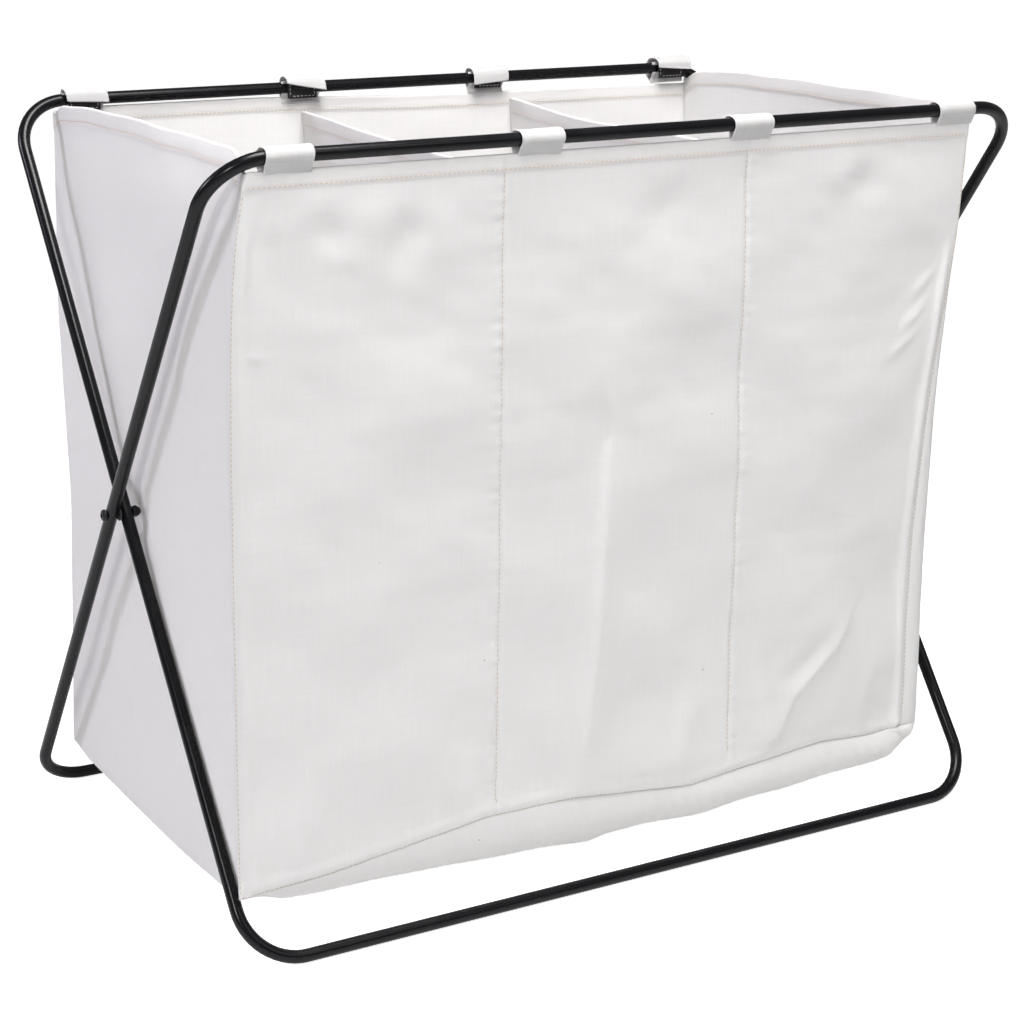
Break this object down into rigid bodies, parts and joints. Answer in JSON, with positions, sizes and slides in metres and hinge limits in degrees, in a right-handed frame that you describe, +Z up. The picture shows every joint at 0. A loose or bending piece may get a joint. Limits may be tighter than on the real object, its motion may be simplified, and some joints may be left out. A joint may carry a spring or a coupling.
{
  "type": "laundry cart",
  "caption": "Folding laundry cart: a canvas bag with side-by-side compartments, hung by hook-and-loop straps from crossed, pivoting loops of steel tube.",
  "frame": {"origin": "on the floor, in the middle of the footprint", "axes": "+X along the long top bars, -Y the front, +Z up"},
  "size_m": [0.7154, 0.4399, 0.5979],
  "materials": {
    "powder_coated_tube": "satin black powder coat",
    "pivot_hardware": "black finished steel",
    "pivot_spacer": "black nylon",
    "bag_canvas": "natural plain-weave cotton canvas",
    "strap_canvas": "off-white cotton webbing cloth",
    "hook_tape": "black hook tape, sewn with white thread",
    "loop_tape": "black brushed loop tape"
  },
  "bodies": {
    "outer_frame": {"outer_frame_loop": "powder_coated_tube", "pivot_bolt_left": "pivot_hardware", "pivot_bolt_right": "pivot_hardware", "pivot_washer_left": "pivot_spacer", "pivot_washer_right": "pivot_spacer", "pivot_nut_left": "pivot_hardware", "pivot_nut_right": "pivot_hardware", "bag_front_panel": "bag_canvas", "bag_gusset_left": "bag_canvas", "bag_gusset_right": "bag_canvas", "bag_divider_left": "bag_canvas", "bag_divider_right": "bag_canvas", "bag_bottom": "bag_canvas", "strap_front_1_base": "strap_canvas", "strap_front_1_tab": "strap_canvas", "strap_front_1_hook_tape": "hook_tape", "strap_front_2_base": "strap_canvas", "strap_front_2_tab": "strap_canvas", "strap_front_2_hook_tape": "hook_tape", "strap_front_3_base": "strap_canvas", "strap_front_3_tab": "strap_canvas", "strap_front_3_hook_tape": "hook_tape", "strap_front_4_base": "strap_canvas", "strap_front_4_tab": "strap_canvas", "strap_front_4_hook_tape": "hook_tape"},
    "inner_frame": {"inner_frame_loop": "powder_coated_tube"},
    "bag_back": {"bag_back_panel": "bag_canvas", "strap_back_1_base": "strap_canvas", "strap_back_1_tab": "strap_canvas", "strap_back_1_hook_tape": "hook_tape", "strap_back_2_base": "strap_canvas", "strap_back_2_tab": "strap_canvas", "strap_back_2_hook_tape": "hook_tape", "strap_back_3_base": "strap_canvas", "strap_back_3_tab": "strap_canvas", "strap_back_3_hook_tape": "hook_tape", "strap_back_4_base": "strap_canvas", "strap_back_4_tab": "strap_canvas", "strap_back_4_hook_tape": "hook_tape"},
    "flap_front_1": {"strap_front_1_flap": "strap_canvas", "strap_front_1_loop_tape": "loop_tape"},
    "flap_front_2": {"strap_front_2_flap": "strap_canvas", "strap_front_2_loop_tape": "loop_tape"},
    "flap_front_3": {"strap_front_3_flap": "strap_canvas", "strap_front_3_loop_tape": "loop_tape"},
    "flap_front_4": {"strap_front_4_flap": "strap_canvas", "strap_front_4_loop_tape": "loop_tape"},
    "flap_back_1": {"strap_back_1_flap": "strap_canvas", "strap_back_1_loop_tape": "loop_tape"},
    "flap_back_2": {"strap_back_2_flap": "strap_canvas", "strap_back_2_loop_tape": "loop_tape"},
    "flap_back_3": {"strap_back_3_flap": "strap_canvas", "strap_back_3_loop_tape": "loop_tape"},
    "flap_back_4": {"strap_back_4_flap": "strap_canvas", "strap_back_4_loop_tape": "loop_tape"}
  },
  "joints": [
    {"name": "fold", "type": "hinge", "parent": "outer_frame", "child": "inner_frame", "pos_m": [0, 0, 0.29625], "axis": [1, 0, 0], "range_deg": [0, 67], "deforming": ["bag_gusset_left", "bag_gusset_right", "bag_divider_left", "bag_divider_right", "bag_bottom"]},
    {"name": "bag_back_swing", "type": "hinge", "parent": "inner_frame", "child": "bag_back", "pos_m": [0, 0.2116, 0.58749], "axis": [1, 0, 0], "range_deg": [-60.3, 0]},
    {"name": "flap_front_1_open", "type": "hinge", "parent": "outer_frame", "child": "flap_front_1", "pos_m": [-0.2941, -0.21788, 0.59149], "axis": [1, 0, 0], "range_deg": [0, 120]},
    {"name": "flap_front_2_open", "type": "hinge", "parent": "outer_frame", "child": "flap_front_2", "pos_m": [-0.09817, -0.2176, 0.59149], "axis": [1, 0, 0], "range_deg": [0, 120]},
    {"name": "flap_front_3_open", "type": "hinge", "parent": "outer_frame", "child": "flap_front_3", "pos_m": [0.08477, -0.2176, 0.59149], "axis": [1, 0, 0], "range_deg": [0, 120]},
    {"name": "flap_front_4_open", "type": "hinge", "parent": "outer_frame", "child": "flap_front_4", "pos_m": [0.2807, -0.2176, 0.59149], "axis": [1, 0, 0], "range_deg": [0, 120]},
    {"name": "flap_back_1_open", "type": "hinge", "parent": "bag_back", "child": "flap_back_1", "pos_m": [-0.2779, 0.21762, 0.59149], "axis": [-1, 0, 0], "range_deg": [0, 120]},
    {"name": "flap_back_2_open", "type": "hinge", "parent": "bag_back", "child": "flap_back_2", "pos_m": [-0.08197, 0.2176, 0.59149], "axis": [-1, 0, 0], "range_deg": [0, 120]},
    {"name": "flap_back_3_open", "type": "hinge", "parent": "bag_back", "child": "flap_back_3", "pos_m": [0.10097, 0.2176, 0.59149], "axis": [-1, 0, 0], "range_deg": [0, 120]},
    {"name": "flap_back_4_open", "type": "hinge", "parent": "bag_back", "child": "flap_back_4", "pos_m": [0.2969, 0.22102, 0.59149], "axis": [-1, 0, 0], "range_deg": [0, 120]}
  ],
  "couplings": [
    {"joint": "bag_back_swing", "follows": "fold", "ratio": -0.9}
  ]
}
